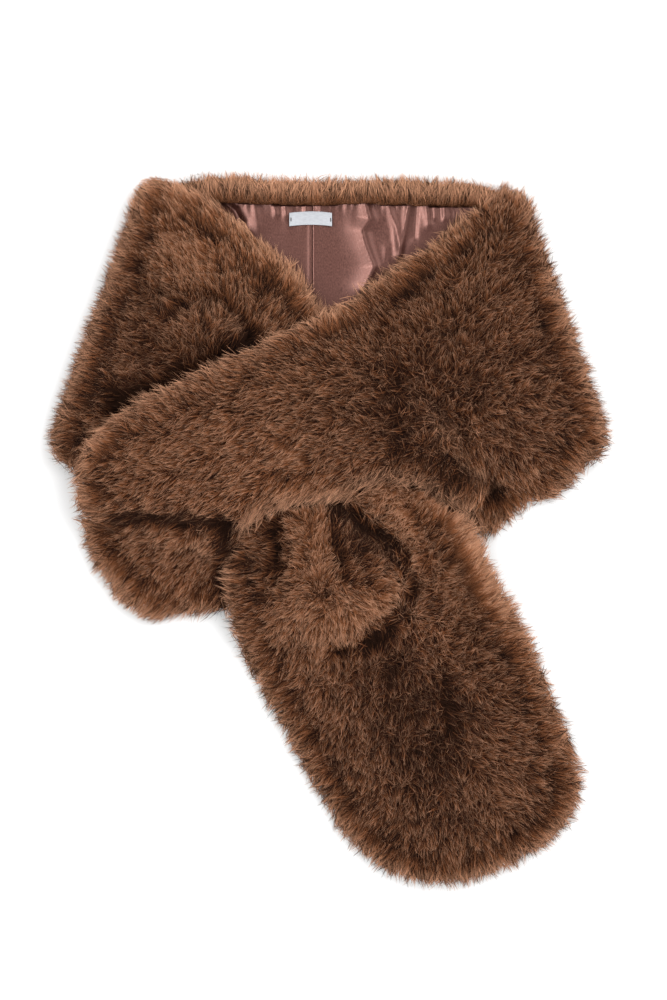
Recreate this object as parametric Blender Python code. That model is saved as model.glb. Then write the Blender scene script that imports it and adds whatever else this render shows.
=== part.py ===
"""A pull-through faux fur collar wrap, laid flat on a table.

One long fur strip, lined with satin, is folded at both shoulders. The back lies fur down with its
lining up, the left front lies on it, the right front crosses over that, and the left end passes up
through a slit in the right front and lies on it as the tail. Every stretch of fur is a wall as
thick as its backing and pile together, because the pile is what takes up the room.

The tables and sizes are in millimetres, with +X to the right of the neck opening as seen from
above, +Y towards the neck edge of the back, +Z up, and the origin on the table under the middle.
"""

import math
from collections import namedtuple

import bmesh
import bpy
import numpy as np
from mathutils import Vector
from mathutils.bvhtree import BVHTree

MM = 0.001

# Thickness of each layer
PILE = 20.0  # backing and standing pile of a front or the tail
PRESSED_PILE = 12.0  # the back's pile, flattened under the fronts
LINING = 1.2  # satin with its seam allowances
LABEL = 0.6

# Gaps
SEAM_GAP = 0.3
LIE_GAP = 0.5  # between a panel and what it lies on
SLIT_GAP = 0.4  # between the edges of the slit and the strip that passes through it
LINING_TO_FOLD = 2.0  # from the lining's end to the middle of a shoulder fold

# How fur rounds off at an edge: it is full this far in, and this share of it is left at the edge
EDGE_ROUND = 30.0
EDGE_SHARE = 0.28
LEAST_PILE = 5.0  # what a deep crease leaves of the pile

# A shoulder fold turns the strip round a small radius on top of the back's pile
FOLD_RADIUS = 1.0
FOLD_AXIS_Z = PRESSED_PILE + FOLD_RADIUS
FOLD_STEPS = 6
FOLD_END_SHARE = 0.5  # the share of the full pile that is left at the two ends of the fold

# Spacing of the points on a panel, and the height maps that panels are laid on
CELL = 14.0
ROWS_PER_SPAN = 12  # how finely the rows of a table are joined by curves
STRIP_CELLS = 19  # cells across a front or the tail
MAP_STEP = 4.0
MAP_HALF = 380.0
RAY_Z = 500.0
SPREAD = 28.0  # how far past an edge a panel still lies at the full height
SOFTEN = 14.0  # how softly it comes down after that
STRIP_SPREAD = 38.0
STRIP_SOFTEN = 24.0

# A row of a panel runs across the strip, from its neck edge to its hem
Row = namedtuple("Row", "neck_x neck_y hem_x hem_y")

LEFT_SHOULDER = Row(-172, 343, -269, 74)
RIGHT_SHOULDER = Row(174, 342, 267, 76)
SLIT = Row(104, 66, -100, 18)

BACK_ROWS = [
    LEFT_SHOULDER,
    Row(-130, 352, -180, 77),
    Row(-85, 351, -110, 79),
    Row(-40, 349, -45, 80),
    Row(5, 350, 10, 80),
    Row(50, 350, 70, 80),
    Row(95, 348, 135, 79),
    Row(135, 347, 195, 77),
    RIGHT_SHOULDER,
]

LEFT_FRONT_ROWS = [
    LEFT_SHOULDER,
    Row(-134, 335, -244, 46),
    Row(-98, 313, -218, 29),
    Row(-68, 286, -192, 19),
    Row(-42, 265, -168, 12),
    Row(-14, 229, -148, 14),
    Row(15, 189, -135, 16),
    Row(45, 149, -124, 21),
    Row(75, 108, -112, 25),
    SLIT,
]

TAIL_ROWS = [
    SLIT,
    Row(128, 32, -107, -14),
    Row(148, -8, -108, -51),
    Row(168, -51, -103, -89),
    Row(190, -91, -88, -126),
    Row(209, -131, -69, -164),
    Row(222, -169, -49, -199),
    Row(237, -201, -29, -236),
    Row(249, -236, -8, -271),
    Row(251, -263, 14, -306),
    Row(243, -288, 42, -333),
    Row(218, -314, 72, -350),
    Row(185, -334, 102, -356),
    Row(160, -344, 125, -353),
]

RIGHT_FRONT_ROWS = [
    RIGHT_SHOULDER,
    Row(144, 323, 236, 42),
    Row(100, 289, 195, 21),
    Row(54, 257, 152, -9),
    Row(10, 226, 102, -24),
    Row(-35, 204, 50, -40),
    Row(-80, 181, -2, -57),
    Row(-125, 162, -55, -71),
    Row(-168, 140, -105, -82),
    Row(-206, 119, -150, -85),
    Row(-233, 99, -184, -83),
    Row(-249, 74, -212, -64),
    Row(-253, 47, -235, -38),
    Row(-251, 24, -245, -13),
]

# A fold runs from one point to another, bowed sideways in the middle: its width is the distance
# at which it has nearly died out, and its height is positive for a ridge, negative for a crease
Fold = namedtuple("Fold", "x0 y0 x1 y1 bow width height")

# The left front and the tail share one table, so that their forms meet inside the slit
STRIP_FOLDS = [
    Fold(-184, 226, -78, 202, 18, 11, -7),
    Fold(-168, 205, -90, 190, 8, 24, 5),
    Fold(6, 38, 80, -70, 8, 17, -13),
    Fold(82, -70, 0, -126, 34, 11, -6),
    Fold(-40, -10, -6, -100, 10, 26, 6),
    Fold(70, 38, 168, -88, 22, 20, 6),
    Fold(98, -118, 128, -190, -6, 12, -5),
    Fold(40, -215, 70, -300, 8, 14, -3),
]
RIGHT_FRONT_FOLDS = [
    Fold(48, 190, 52, 84, 6, 9, -4),
    Fold(-246, 2, -108, -4, 3, 10, -7),
    Fold(105, 38, 205, 36, -4, 12, -6),
    Fold(90, 258, 128, 176, -10, 14, -3),
]
# Satin gathered into the neck seam, and the soft billows below it
LINING_FOLDS = [
    Fold(-104, 326, -88, 300, 3, 7, 2.0),
    Fold(-82, 328, -76, 296, 2, 8, 2.6),
    Fold(-58, 325, -52, 305, 1, 4, 1.8),
    Fold(-46, 324, -41, 303, 1, 4, 1.7),
    Fold(-22, 322, -22, 222, 0, 3.5, 1.1),
    Fold(-8, 323, -5, 306, 1, 4, 1.5),
    Fold(22, 325, 34, 232, -8, 13, 5.0),
    Fold(42, 325, 46, 306, 1, 4, 1.6),
    Fold(55, 325, 60, 262, -7, 6, 3.4),
    Fold(72, 325, 72, 272, -8, 6, 3.2),
    Fold(83, 325, 84, 300, 1, 4, 1.8),
    Fold(93, 326, 96, 298, 2, 4.5, 2.2),
    Fold(104, 326, 112, 300, 1, 4, 2.0),
    Fold(116, 327, 126, 304, 1, 4, 1.8),
]

# The back's neck edge: distances are measured from the tips of its fur
NECK_SEAM = 20.0  # where the satin begins
NECK_ROLL = 8.0  # how far the fur rises above the seam
NECK_ROLL_MIDDLE = 8.0
NECK_ROLL_HALF = 10.0
NECK_LIFT = 2.5  # how far the fur stands clear of the table at its tips
NECK_LIFT_REACH = 15.0
BARE_MIDDLE_X = 5.0  # the stretch of the neck edge that no front covers
BARE_HALF = 150.0
BARE_FADE = 40.0
BACK_NECK_ROUND = 14.0
BACK_HEM_ROUND = 20.0
BACK_ACROSS = (0, 0.024, 0.048, 0.074, 0.1, 0.15, 0.24, 0.4, 0.56, 0.72, 0.86, 0.95, 1)

# The lining, from the neck seam down, with more rows where the neck opening shows it
CENTRE_BACK_X = -19.0
LINING_CELL = 5.4
LINING_SHOWS = (-112, 128)
LINING_DOWN = (1, 5, 9, 14, 20, 28, 39, 53, 73, 106, 151, 196, 226)

# The label is tacked across the centre back seam
LABEL_X = -20.5
LABEL_TOP_Y = 317.0
LABEL_LENGTH = 43.0
LABEL_WIDTH = 13.5
LABEL_ARCH = 1.6

# The lip of the slit: outside this outline the right front lies over the strip, and inside it
# the strip lies over the right front
LIP = [
    (-116, -60),
    (-108, -31),
    (-90, 1),
    (-70, 17),
    (-30, 29),
    (5, 36),
    (50, 48),
    (94, 43),
    (125, 21),
    (146, -6),
    (158, -60),
]
LIP_SOFTEN = 14.0
ROWS_IN_SLIT = (5, 9)  # how many rows of the left front and of the tail the slit is cut for


def smoothed_rows(rows, step):
    """The rows of a table joined by Catmull-Rom curves and spaced evenly along the strip."""
    points = np.array(rows, float)
    padded = np.vstack([2 * points[0] - points[1], points, 2 * points[-1] - points[-2]])
    fine = []
    for i in range(len(points) - 1):
        before, start, end, after = padded[i : i + 4]
        for t in np.arange(ROWS_PER_SPAN) / ROWS_PER_SPAN:
            linear = (end - before) * t
            square = (2 * before - 5 * start + 4 * end - after) * t**2
            cube = (3 * start - before - 3 * end + after) * t**3
            fine.append((2 * start + linear + square + cube) / 2)
    fine = np.array([*fine, points[-1]])
    middle = (fine[:, :2] + fine[:, 2:]) / 2
    neck_run = np.linalg.norm(np.diff(fine[:, :2], axis=0), axis=1)
    middle_run = np.linalg.norm(np.diff(middle, axis=0), axis=1)
    along = np.concatenate([[0], np.cumsum(np.maximum(neck_run, middle_run))])
    at = np.linspace(0, along[-1], round(along[-1] / step) + 1)
    return np.stack([np.interp(at, along, fine[:, k]) for k in range(4)], axis=1)


def set_back(rows, end, gap):
    """Moves the first or the last row of a panel this far into the panel."""
    neck, hem = rows[end, :2], rows[end, 2:]
    square = np.array([neck[1] - hem[1], hem[0] - neck[0]]) / np.linalg.norm(neck - hem)
    inward = (rows[1 if end == 0 else -2] - rows[end])[:2] @ square
    rows[end] += np.tile(square * math.copysign(gap, inward), 2)


def plan_grid(rows, across):
    """Points in plan, one row of the strip after another, from its neck edge to its hem."""
    neck, hem = rows[:, None, :2], rows[:, None, 2:]
    return neck + (hem - neck) * across[None, :, None]


def row_widths(rows):
    return np.linalg.norm(rows[:, 2:] - rows[:, :2], axis=1)[:, None]


def with_height(points, height):
    return np.concatenate([points, np.broadcast_to(height, points.shape[:-1])[..., None]], -1)


def distance_to_path(points, path):
    """How far each point in plan is from a chain of straight stretches."""
    best = np.full(points.shape[:-1], np.inf)
    for start, end in zip(path[:-1], path[1:]):
        run = end - start
        share = np.clip(((points - start) @ run) / (run @ run), 0, 1)
        nearest = start + share[..., None] * run
        best = np.minimum(best, np.linalg.norm(points - nearest, axis=-1))
    return best


def fold_path(fold, steps=10):
    start, end = np.array([fold.x0, fold.y0]), np.array([fold.x1, fold.y1])
    run = end - start
    side = np.array([-run[1], run[0]]) / np.linalg.norm(run)
    t = np.linspace(0, 1, steps + 1)[:, None]
    return start + run * t + side * fold.bow * 4 * t * (1 - t)


def relief(points, folds):
    """How far the folds raise or lower the surface at each point in plan."""
    height = np.zeros(points.shape[:-1])
    for fold in folds:
        away = distance_to_path(points, fold_path(fold))
        height += fold.height * np.exp(-((away / fold.width) ** 2))
    return height


def rounded(distance, reach=EDGE_ROUND):
    """The share of the pile's height that stands this far in from an edge."""
    inward = np.clip(distance / reach, 0, 1)
    return EDGE_SHARE + (1 - EDGE_SHARE) * np.sqrt(1 - (1 - inward) ** 2)


def inside(points, outline):
    """Whether each point in plan lies inside a closed outline."""
    x, y = points[..., 0], points[..., 1]
    odd = np.zeros(x.shape, bool)
    for (x0, y0), (x1, y1) in zip(outline, outline[1:] + outline[:1]):
        if y0 != y1:
            crosses = (y0 > y) != (y1 > y)
            odd ^= crosses & (x < (x1 - x0) * (y - y0) / (y1 - y0) + x0)
    return odd


def above_lip(points):
    """1 where the right front lies over the strip, 0 where the strip lies over it."""
    away = distance_to_path(points, np.array(LIP, float))
    signed = np.where(inside(points, LIP), -away, away)
    share = np.clip(signed / LIP_SOFTEN / 2 + 0.5, 0, 1)
    return share**2 * (3 - 2 * share)


def disc(radius):
    """The steps of a height map that lie within this distance."""
    reach = int(radius / MAP_STEP)
    steps = range(-reach, reach + 1)
    return [(i, j) for i in steps for j in steps if math.hypot(i, j) * MAP_STEP <= radius]


def top_heights(obj, x, y):
    """The height of an object's upper surface at each point, and 0 where it isn't."""
    corners = np.array([vert.co for vert in obj.data.vertices]) / MM
    faces = [tuple(face.vertices) for face in obj.data.polygons]
    tree = BVHTree.FromPolygons(corners.tolist(), faces)
    low, high = corners.min(0), corners.max(0)
    near = (x > low[0]) & (x < high[0]) & (y > low[1]) & (y < high[1])
    top = np.zeros(x.shape)
    for i, j in zip(*np.nonzero(near)):
        hit = tree.ray_cast(Vector((x[i, j], y[i, j], RAY_Z)), Vector((0, 0, -1)))[0]
        if hit is not None:
            top[i, j] = hit.z
    return top


class Ground:
    """The height of what lies below, spread and softened as a thick cloth bridges it."""

    def __init__(self, supports, inside_lip=(), spread=SPREAD, soften=SOFTEN):
        self.axis = np.arange(-MAP_HALF, MAP_HALF + MAP_STEP, MAP_STEP)
        x, y = np.meshgrid(self.axis, self.axis, indexing="ij")
        lies_below = above_lip(np.stack([x, y], -1)) < 0.5
        top = np.zeros(x.shape)
        for obj in supports:
            top = np.maximum(top, top_heights(obj, x, y))
        for obj in inside_lip:
            top = np.maximum(top, top_heights(obj, x, y) * lies_below)
        spread_top = np.max([np.roll(top, shift, (0, 1)) for shift in disc(spread)], axis=0)
        self.height = np.mean([np.roll(spread_top, shift, (0, 1)) for shift in disc(soften)], axis=0)

    def lie(self, points):
        """The underside of a cloth that lies here: on the table it rests at zero."""
        place = np.clip((points + MAP_HALF) / MAP_STEP, 0, len(self.axis) - 1.001)
        i, j = np.moveaxis(place.astype(int), -1, 0)
        u, v = np.moveaxis(place % 1, -1, 0)
        near = self.height[i, j] * (1 - u) + self.height[i + 1, j] * u
        far = self.height[i, j + 1] * (1 - u) + self.height[i + 1, j + 1] * u
        height = near * (1 - v) + far * v
        return height + np.minimum(LIE_GAP, height)


def cloth_wall(name, inner, outer, material):
    """A closed wall between two grids of points: a sheet is laid on the inner ones and extruded
    to the outer ones."""
    rows, columns = inner.shape[:2]
    bm = bmesh.new()
    bmesh.ops.create_grid(bm, x_segments=columns - 1, y_segments=rows - 1, size=1)
    bmesh.ops.triangulate(bm, faces=bm.faces[:], quad_method="FIXED")
    place = bm.verts.layers.int.new("place")
    sheet = list(bm.verts)
    for index, vert in enumerate(sheet):
        vert[place] = index
    lifted = bmesh.ops.extrude_face_region(bm, geom=bm.faces[:], use_keep_orig=True)["geom"]
    for vert in sheet:
        vert.co = inner.reshape(-1, 3)[vert[place]] * MM
    for vert in lifted:
        if isinstance(vert, bmesh.types.BMVert):
            vert.co = outer.reshape(-1, 3)[vert[place]] * MM
    bmesh.ops.recalc_face_normals(bm, faces=bm.faces[:])
    mesh = bpy.data.meshes.new(name)
    bm.to_mesh(mesh)
    bm.free()
    mesh.shade_smooth()
    mesh.materials.append(material)
    obj = bpy.data.objects.new(name, mesh)
    wrap.objects.link(obj)
    return obj


def cloth_material(name, colour, roughness):
    material = bpy.data.materials.new(name)
    material.use_nodes = True
    shader = material.node_tree.nodes["Principled BSDF"]
    shader.inputs["Base Color"].default_value = (*colour, 1)
    shader.inputs["Roughness"].default_value = roughness
    shader.inputs["Metallic"].default_value = 0
    return material


def make_back(fur):
    """The back lies fur down. At its neck edge the fur rolls up over the seam of the lining."""
    rows = smoothed_rows(BACK_ROWS, 2 * CELL)
    set_back(rows, 0, SEAM_GAP)
    set_back(rows, -1, SEAM_GAP)
    across = np.array(BACK_ACROSS)
    points = plan_grid(rows, across)
    from_tips = across[None, :] * row_widths(rows)
    from_hem = (1 - across)[None, :] * row_widths(rows)
    bare = np.clip((BARE_HALF - np.abs(points[..., 0] - BARE_MIDDLE_X)) / BARE_FADE, 0, 1)
    bump = np.clip(1 - ((from_tips - NECK_ROLL_MIDDLE) / NECK_ROLL_HALF) ** 2, 0, 1)
    edge = rounded(from_tips, BACK_NECK_ROUND) * rounded(from_hem, BACK_HEM_ROUND)
    upper = with_height(points, PRESSED_PILE * edge + NECK_ROLL * bare * bump)
    lift = NECK_LIFT * bare * np.clip(1 - from_tips / NECK_LIFT_REACH, 0, 1) ** 2
    lower = with_height(points, lift)
    return cloth_wall("back_fur", upper, lower, fur)


def make_lining(name, satin, side):
    """One half of the back's satin, from the centre back seam to a shoulder fold."""
    rows = smoothed_rows(BACK_ROWS, LINING_CELL)
    neck_end = rows[:, 0] + (rows[:, 2] - rows[:, 0]) / 4
    rows = rows[(neck_end - CENTRE_BACK_X) * side > 0]
    seam_end, fold_end = (0, -1) if side > 0 else (-1, 0)
    rows[seam_end, [0, 2]] = CENTRE_BACK_X + side * SEAM_GAP / 2
    set_back(rows, fold_end, LINING_TO_FOLD)
    # Where the fronts cover the lining, every fourth row is enough.
    order = np.arange(len(rows))
    shown = (rows[:, 0] > LINING_SHOWS[0]) & (rows[:, 0] < LINING_SHOWS[1])
    rows = rows[shown | (order % 4 == 0) | (order == len(rows) - 1)]
    down = (NECK_SEAM + np.array(LINING_DOWN))[None, :, None] / row_widths(rows)[..., None]
    neck, hem = rows[:, None, :2], rows[:, None, 2:]
    points = neck + (hem - neck) * down
    lower = PRESSED_PILE + SEAM_GAP + relief(points, LINING_FOLDS)
    return cloth_wall(name, with_height(points, lower + LINING), with_height(points, lower), satin)


def make_label(white, linings):
    """A plain white woven label, tacked across the centre back seam at both ends."""
    ground = Ground(linings, spread=MAP_STEP, soften=MAP_STEP)
    along = np.linspace(-0.5, 0.5, 10)[:, None]
    down = np.linspace(0, 1, 4)[None, :]
    x = LABEL_X + along * LABEL_LENGTH + 0 * down
    y = LABEL_TOP_Y - down * LABEL_WIDTH + LABEL_ARCH * (1 - (2 * along) ** 2)
    points = np.stack([x, y], -1)
    lower = ground.lie(points)
    cloth_wall("label", with_height(points, lower), with_height(points, lower + LABEL), white)


def shoulder_fold(rows, across, outward):
    """The inner and outer points where the strip turns over, from its underside to its top."""
    axis = plan_grid(rows[:1], across)[0]
    along = (axis[-1] - axis[0]) / np.linalg.norm(axis[-1] - axis[0])
    side = np.array([-along[1], along[0]]) * outward
    width = row_widths(rows[:1])[0]
    share = np.maximum(rounded(across * width) * rounded((1 - across) * width), FOLD_END_SHARE)
    inner, outer = [], []
    for step in range(FOLD_STEPS):
        angle = math.radians(-90 + 180 * step / FOLD_STEPS)
        turned = (1 + math.sin(angle)) / 2
        pile = (PRESSED_PILE * (1 - turned) + PILE * turned) * share
        for points, radius in ((inner, FOLD_RADIUS + 0 * pile), (outer, FOLD_RADIUS + pile)):
            beside = axis + (radius * math.cos(angle))[:, None] * side
            points.append(with_height(beside, FOLD_AXIS_Z + radius * math.sin(angle)))
    return np.array(inner), np.array(outer)


def piled(rows, across, folds, under, tip=None):
    """The inner and outer points of a stretch of fur: full in the middle, rounded at the edges
    and at its tip, with its folds."""
    points = plan_grid(rows, across)
    width = row_widths(rows)
    share = rounded(across[None, :] * width) * rounded((1 - across)[None, :] * width)
    if tip is not None:
        middle = (rows[:, :2] + rows[:, 2:]) / 2
        share = share * rounded(np.linalg.norm(middle - tip, axis=1))[:, None]
    pile = np.maximum(PILE + relief(points, folds), LEAST_PILE) * share
    return with_height(points, under), with_height(points, under + pile)


def tip_of(rows, past):
    """The outermost point of the strip's end, this far past the middle of the last row."""
    last, before = (np.array(row, float).reshape(2, 2).mean(0) for row in (rows[-1], rows[-2]))
    return last + (last - before) / np.linalg.norm(last - before) * past


def make_left_front(fur, ground):
    rows = smoothed_rows(LEFT_FRONT_ROWS, CELL)
    across = np.linspace(0, 1, STRIP_CELLS + 1)
    fold = shoulder_fold(rows, across, -1)
    panel = piled(rows, across, STRIP_FOLDS, ground.lie(plan_grid(rows, across)))
    inner, outer = (np.concatenate(pair) for pair in zip(fold, panel))
    return cloth_wall("left_front", inner, outer, fur), (inner, outer)


def make_tail(fur, ground, name="tail", stop=None):
    rows = smoothed_rows(TAIL_ROWS, CELL)[:stop]
    set_back(rows, 0, SEAM_GAP)
    across = np.linspace(0, 1, STRIP_CELLS + 1)
    under = ground.lie(plan_grid(rows, across))
    inner, outer = piled(rows, across, STRIP_FOLDS, under, tip_of(TAIL_ROWS, 5))
    return cloth_wall(name, inner, outer, fur), (inner, outer)


def make_right_front(name, fur, low, high):
    """The right front, laid on the low ground inside the lip of the slit and on the high ground
    outside it."""
    rows = smoothed_rows(RIGHT_FRONT_ROWS, CELL)
    across = np.linspace(0, 1, STRIP_CELLS + 1)
    points = plan_grid(rows, across)
    share = above_lip(points)
    under = low.lie(points) * (1 - share) + high.lie(points) * share
    fold = shoulder_fold(rows, across, 1)
    panel = piled(rows, across, RIGHT_FRONT_FOLDS, under, tip_of(RIGHT_FRONT_ROWS, 5))
    inner, outer = (np.concatenate(pair) for pair in zip(fold, panel))
    return cloth_wall(name, inner, outer, fur)


def make_slit_cutter(fur, left_grids, tail_grids):
    """The strip where it passes through the slit, made a little larger all round."""
    left_rows, tail_rows = ROWS_IN_SLIT
    grids = [
        np.concatenate([left[-left_rows:-1], tail[:tail_rows]])
        for left, tail in zip(left_grids, tail_grids)
    ]
    for grid, up in zip(grids, (-SLIT_GAP, SLIT_GAP)):
        grid[..., 2] += up
        for edge, nearest in ((0, 1), (-1, -2)):
            away = grid[:, edge, :2] - grid[:, nearest, :2]
            grid[:, edge, :2] += away / np.linalg.norm(away, axis=1, keepdims=True) * SLIT_GAP
    cutter = cloth_wall("slit_cutter", *grids, fur)
    wrap.objects.unlink(cutter)
    cutters.objects.link(cutter)
    cutter.hide_render = True
    cutter.display_type = "WIRE"
    return cutter


def make_wrap():
    fur = cloth_material("brown fur", (0.16, 0.075, 0.04), 0.85)
    satin = cloth_material("mauve brown satin", (0.24, 0.11, 0.095), 0.35)
    white = cloth_material("white label tape", (0.85, 0.86, 0.9), 0.6)

    back = make_back(fur)
    linings = [make_lining("lining_left", satin, -1), make_lining("lining_right", satin, 1)]
    make_label(white, linings)

    # The strip passes over a first, uncut right front, which is then laid over the strip.
    on_back = Ground([back, *linings])
    uncut = make_right_front("uncut", fur, on_back, on_back)
    under_strip = Ground([back, *linings], [uncut], STRIP_SPREAD, STRIP_SOFTEN)
    left, left_grids = make_left_front(fur, under_strip)
    tail_grids = make_tail(fur, under_strip)[1]
    throat = make_tail(fur, under_strip, "throat", stop=3)[0]
    over_strip = Ground([back, *linings, left, throat])
    for guide in (uncut, throat):
        bpy.data.objects.remove(guide)

    right = make_right_front("right_front", fur, on_back, over_strip)
    cut = right.modifiers.new("slit", "BOOLEAN")
    cut.operation = "DIFFERENCE"
    cut.solver = "EXACT"
    cut.object = make_slit_cutter(fur, left_grids, tail_grids)


for old in list(bpy.data.objects):
    bpy.data.objects.remove(old)
wrap = bpy.data.collections.new("fur collar wrap")
cutters = bpy.data.collections.new("cutters")
bpy.context.scene.collection.children.link(wrap)
bpy.context.scene.collection.children.link(cutters)
make_wrap()
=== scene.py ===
"""Looks of the pull-through fur collar wrap, laid flat and seen from straight above."""

import math
from collections import namedtuple

import bmesh
import bpy
import numpy as np
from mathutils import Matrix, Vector
from mathutils.bvhtree import BVHTree


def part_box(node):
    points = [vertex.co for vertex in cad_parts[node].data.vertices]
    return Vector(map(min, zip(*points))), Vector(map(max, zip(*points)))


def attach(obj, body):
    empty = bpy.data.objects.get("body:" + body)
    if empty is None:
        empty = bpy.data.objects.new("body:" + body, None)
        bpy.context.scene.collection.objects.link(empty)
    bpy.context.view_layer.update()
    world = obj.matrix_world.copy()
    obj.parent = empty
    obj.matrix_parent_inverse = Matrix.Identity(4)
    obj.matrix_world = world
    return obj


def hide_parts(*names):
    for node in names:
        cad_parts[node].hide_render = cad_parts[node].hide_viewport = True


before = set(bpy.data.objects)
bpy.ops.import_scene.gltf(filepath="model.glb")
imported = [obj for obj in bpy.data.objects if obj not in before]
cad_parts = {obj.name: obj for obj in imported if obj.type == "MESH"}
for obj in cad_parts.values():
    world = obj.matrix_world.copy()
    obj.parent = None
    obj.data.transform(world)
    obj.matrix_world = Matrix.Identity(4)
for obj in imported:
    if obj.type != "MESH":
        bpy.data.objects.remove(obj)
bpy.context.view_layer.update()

# The back is the middle of the one long strip of faux fur, and it lies fur down. All that shows
# of it is the pile that rolls up over the neck seam. Its knitted backing holds the hairs in locks,
# and the locks lean together in tufts.
MM = 0.001  # the sizes here are in millimetres and the scene is in metres
WELD = 0.01


def node_solid(name):
    """A CAD node as one welded mesh."""
    bm = bmesh.new()
    bm.from_mesh(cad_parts[name].data)
    bmesh.ops.remove_doubles(bm, verts=bm.verts[:], dist=WELD * MM)
    return bm


SKIN_VOXEL, SKIN_ROUNDS = 3.2, 6


def smooth_skin(name):
    """The node's surface with its facets smoothed away: points, triangles and normals in mm."""
    bm = node_solid(name)
    mesh = bpy.data.meshes.new("smooth " + name)
    bm.to_mesh(mesh)
    bm.free()
    obj = bpy.data.objects.new("smooth " + name, mesh)
    bpy.context.scene.collection.objects.link(obj)
    remesh = obj.modifiers.new("remesh", "REMESH")
    remesh.mode = "VOXEL"
    remesh.voxel_size = SKIN_VOXEL * MM
    smooth = obj.modifiers.new("smooth", "SMOOTH")
    smooth.factor = 0.5
    smooth.iterations = SKIN_ROUNDS
    shown = obj.evaluated_get(bpy.context.evaluated_depsgraph_get())
    fine = shown.to_mesh()
    fine.calc_loop_triangles()
    points = np.zeros(len(fine.vertices) * 3)
    fine.vertices.foreach_get("co", points)
    triangles = np.zeros(len(fine.loop_triangles) * 3, int)
    fine.loop_triangles.foreach_get("vertices", triangles)
    points, triangles = points.reshape(-1, 3) / MM, triangles.reshape(-1, 3)
    shown.to_mesh_clear()
    bpy.data.objects.remove(obj)
    bpy.data.meshes.remove(mesh)
    faces = np.cross(
        points[triangles[:, 1]] - points[triangles[:, 0]],
        points[triangles[:, 2]] - points[triangles[:, 0]],
    )
    normals = np.zeros(points.shape)
    for corner in range(3):
        np.add.at(normals, triangles[:, corner], faces)
    return points, triangles, unit(normals)


def unit(vectors):
    return vectors / np.maximum(np.linalg.norm(vectors, axis=-1, keepdims=True), 1e-9)


def solid_tree(name):
    bm = node_solid(name)
    bmesh.ops.scale(bm, vec=(1 / MM,) * 3, verts=bm.verts[:])
    tree = BVHTree.FromBMesh(bm)
    bm.free()
    return tree


trees = {name: solid_tree(name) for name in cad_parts}


def cast(tree, points, directions, reach):
    """How far each ray goes before it meets the solid, or reach if it doesn't."""
    far = np.full(len(points), float(reach))
    for i, (point, direction) in enumerate(zip(points, directions)):
        hit = tree.ray_cast(Vector(point), Vector(direction), reach)[3]
        if hit is not None:
            far[i] = hit
    return far


FAR = 60.0  # further than any solid lies from a point of the pile
FACES_TABLE = -0.4  # fur whose normal points lower than this isn't seen


def bare(points, normals, covers):
    """True where nothing lies on the fur and it doesn't face the table."""
    shown = normals[:, 2] > FACES_TABLE
    up = np.tile([0.0, 0.0, 1.0], (len(points), 1))
    for cover in covers:
        where = np.nonzero(shown)[0]
        start = points[where] + up[where] * 0.5
        shown[where] = cast(trees[cover], start, up[where], FAR) > FAR - 1
    return shown


Comb = namedtuple("Comb", "x y toward lying")
COMB_REACH = 12.0  # within about this distance a comb has its own way
COMB_FALLS = 1.6


def combed(points, table):
    """The direction in which the pile is brushed at each point, and how far it lies down."""
    at = np.array([[row.x, row.y] for row in table])
    toward = np.radians([row.toward for row in table])
    lying = np.array([row.lying for row in table])
    away = ((points[:, None, :2] - at[None]) ** 2).sum(-1)
    weight = 1 / (away + COMB_REACH**2) ** COMB_FALLS
    weight /= weight.sum(1, keepdims=True)
    direction = np.stack([weight @ np.cos(toward), weight @ np.sin(toward)], 1)
    return direction, weight @ lying


def locks(rng, points, triangles, shown, count):
    """Where the locks of hair grow: spread evenly over the bare triangles."""
    a, b, c = (points[triangles[:, k]] for k in range(3))
    area = np.linalg.norm(np.cross(b - a, c - a), axis=1) * shown[triangles].all(1)
    pick = np.sort(rng.choice(len(triangles), count, p=area / area.sum()))
    u, v = rng.random(count), rng.random(count)
    over = u + v > 1
    u[over], v[over] = 1 - u[over], 1 - v[over]
    return triangles[pick], np.stack([1 - u - v, u, v], 1)


# A parting is a bowed line where the tips sink by its depth; a depth below zero lifts the pile.
# Its dark paints shade on the pile around the line, and a dark below zero paints it paler, as a
# painted highlight.
PartingAndShade = namedtuple("PartingAndShade", "x0 y0 x1 y1 bow width depth dark")
BOW_STEPS = 13


def parted_and_shaded(points, partings_and_shades):
    """How far the tips sink where the pile parts or is pressed, and the painted shade on them near
    each row.
    """
    depth, dark = np.zeros(len(points)), np.zeros(len(points))
    for row in partings_and_shades:
        start, end = np.array([row.x0, row.y0]), np.array([row.x1, row.y1])
        along = end - start
        square = np.array([-along[1], along[0]]) / np.linalg.norm(along)
        t = np.linspace(0, 1, BOW_STEPS)[:, None]
        path = start + along * t + square * row.bow * 4 * t * (1 - t)
        a, b = path[:-1], path[1:]
        run = b - a
        part = ((points[:, None, :2] - a) * run).sum(-1) / (run**2).sum(-1)
        nearest = a + np.clip(part, 0, 1)[..., None] * run
        away = np.linalg.norm(points[:, None, :2] - nearest, axis=-1).min(1)
        near = np.exp(-((away / row.width) ** 2))
        depth += row.depth * near
        dark += row.dark * near
    return depth, dark


WAVES, WAVES_VARY = 14, (0.7, 1.4)


def waves(points, size, rng):
    """A smooth random height over the fur, and its slope."""
    pull = unit(rng.normal(0, 1, (WAVES, 3))) * 2 * math.pi / size
    pull *= rng.uniform(*WAVES_VARY, (WAVES, 1))
    turn = points @ pull.T + rng.uniform(0, 2 * math.pi, WAVES)
    share = math.sqrt(2 / WAVES)
    return share * np.cos(turn).sum(1), -share * np.sin(turn) @ pull


STREAK_WIDTH, STREAK_STEPS = 0.9, 11
STREAK_MARGIN, STREAK_CELLS = 25, 6


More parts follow.
